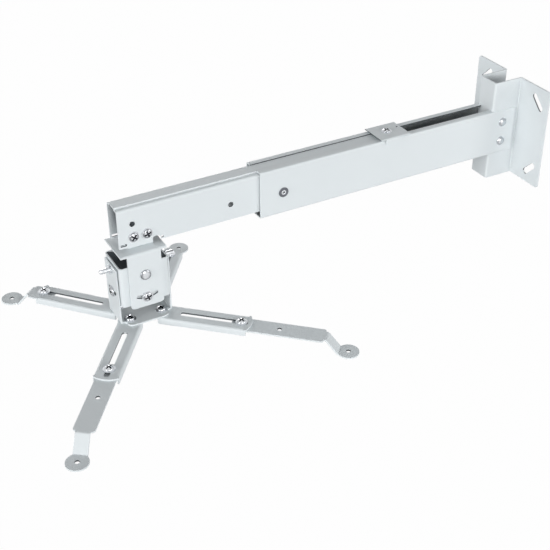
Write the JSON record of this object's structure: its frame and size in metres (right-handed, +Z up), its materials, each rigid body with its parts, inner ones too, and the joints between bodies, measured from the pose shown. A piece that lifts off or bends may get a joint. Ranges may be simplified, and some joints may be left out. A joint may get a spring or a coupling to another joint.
{
  "type": "projector wall and ceiling mount",
  "caption": "Telescoping projector mount: folded wall bracket, sliding channel boom, swivel and tilt head, slotted swing arms with sliding foot strips.",
  "frame": {"origin": "centre of the wall bracket's back face, in the plane of the wall", "axes": "+X out of the wall along the boom, +Z up, +Y to the left when looking out from the wall"},
  "size_m": [0.6901, 0.3439, 0.2073],
  "materials": {
    "white_coat": "white powder coat, satin",
    "bright_zinc": "bright zinc plate",
    "dull_zinc": "dull zinc plate"
  },
  "bodies": {
    "wall": {"wall_bracket": "white_coat", "outer_channel": "white_coat", "channel_bolts": "bright_zinc", "channel_nuts": "dull_zinc", "lock_insert": "bright_zinc", "extension_lock_screw": "bright_zinc"},
    "boom": {"inner_channel": "white_coat", "slider_plate": "white_coat", "slider_spacer": "dull_zinc", "slider_screw": "bright_zinc", "slider_nut": "dull_zinc", "end_adapter": "white_coat", "adapter_screws": "bright_zinc", "adapter_nuts": "dull_zinc", "swivel_bolt": "bright_zinc", "swivel_washer": "dull_zinc", "swivel_nut": "dull_zinc"},
    "yoke": {"upper_yoke": "white_coat"},
    "block": {"tilt_box": "white_coat", "tilt_pivot_pins": "bright_zinc", "roll_pivot_studs": "bright_zinc", "tilt_lock_screws": "bright_zinc", "roll_lock_screws": "bright_zinc", "lock_nuts": "dull_zinc"},
    "base": {"lower_yoke": "white_coat", "arm_bolts": "bright_zinc", "arm_washers": "dull_zinc", "arm_nuts": "dull_zinc"},
    "arm_front": {"arm_front": "white_coat"},
    "strip_front": {"strip_front": "white_coat", "strip_screw_front": "bright_zinc", "strip_nut_front": "dull_zinc", "strip_washer_front": "dull_zinc"},
    "arm_left": {"arm_left": "white_coat"},
    "strip_left": {"strip_left": "white_coat", "strip_screw_left": "bright_zinc", "strip_nut_left": "dull_zinc", "strip_washer_left": "dull_zinc"},
    "arm_right": {"arm_right": "white_coat"},
    "strip_right": {"strip_right": "white_coat", "strip_screw_right": "bright_zinc", "strip_nut_right": "dull_zinc", "strip_washer_right": "dull_zinc"},
    "arm_back": {"arm_back": "white_coat"},
    "strip_back": {"strip_back": "white_coat", "strip_screw_back": "bright_zinc", "strip_nut_back": "dull_zinc", "strip_washer_back": "dull_zinc"}
  },
  "joints": [
    {"name": "boom_extension", "type": "slide", "parent": "wall", "child": "boom", "axis": [1, 0, 0], "range_m": [-0.112, 0.092]},
    {"name": "head_swivel", "type": "hinge", "parent": "boom", "child": "yoke", "pos_m": [0.5274, 0, -0.0565], "axis": [0, 0, 1], "range_deg": [-180, 180]},
    {"name": "head_tilt", "type": "hinge", "parent": "yoke", "child": "block", "pos_m": [0.5274, 0, -0.0565], "axis": [0, 1, 0], "range_deg": [-15, 15]},
    {"name": "head_roll", "type": "hinge", "parent": "block", "child": "base", "pos_m": [0.5274, 0, -0.0535], "axis": [1, 0, 0], "range_deg": [-8, 8]},
    {"name": "front_arm_swing", "type": "hinge", "parent": "base", "child": "arm_front", "pos_m": [0.547, 0.0149, -0.1198], "axis": [0, 0, 1], "range_deg": [-30, 30]},
    {"name": "front_strip_slide", "type": "slide", "parent": "arm_front", "child": "strip_front", "axis": [0.6018, 0.7986, 0], "range_m": [-0.0647, 0.0098]},
    {"name": "left_arm_swing", "type": "hinge", "parent": "base", "child": "arm_left", "pos_m": [0.547, -0.0149, -0.1198], "axis": [0, 0, 1], "range_deg": [-30, 30]},
    {"name": "left_strip_slide", "type": "slide", "parent": "arm_left", "child": "strip_left", "axis": [0.6717, -0.7408, 0], "range_m": [-0.0744, 0.0001]},
    {"name": "right_arm_swing", "type": "hinge", "parent": "base", "child": "arm_right", "pos_m": [0.5078, 0.0149, -0.1198], "axis": [0, 0, 1], "range_deg": [-30, 30]},
    {"name": "right_strip_slide", "type": "slide", "parent": "arm_right", "child": "strip_right", "axis": [-0.7373, 0.6756, 0], "range_m": [-0.0702, 0.0043]},
    {"name": "back_arm_swing", "type": "hinge", "parent": "base", "child": "arm_back", "pos_m": [0.5078, -0.0149, -0.1198], "axis": [0, 0, 1], "range_deg": [-30, 30]},
    {"name": "back_strip_slide", "type": "slide", "parent": "arm_back", "child": "strip_back", "axis": [-0.6018, -0.7986, 0], "range_m": [-0.0712, 0.0033]}
  ]
}
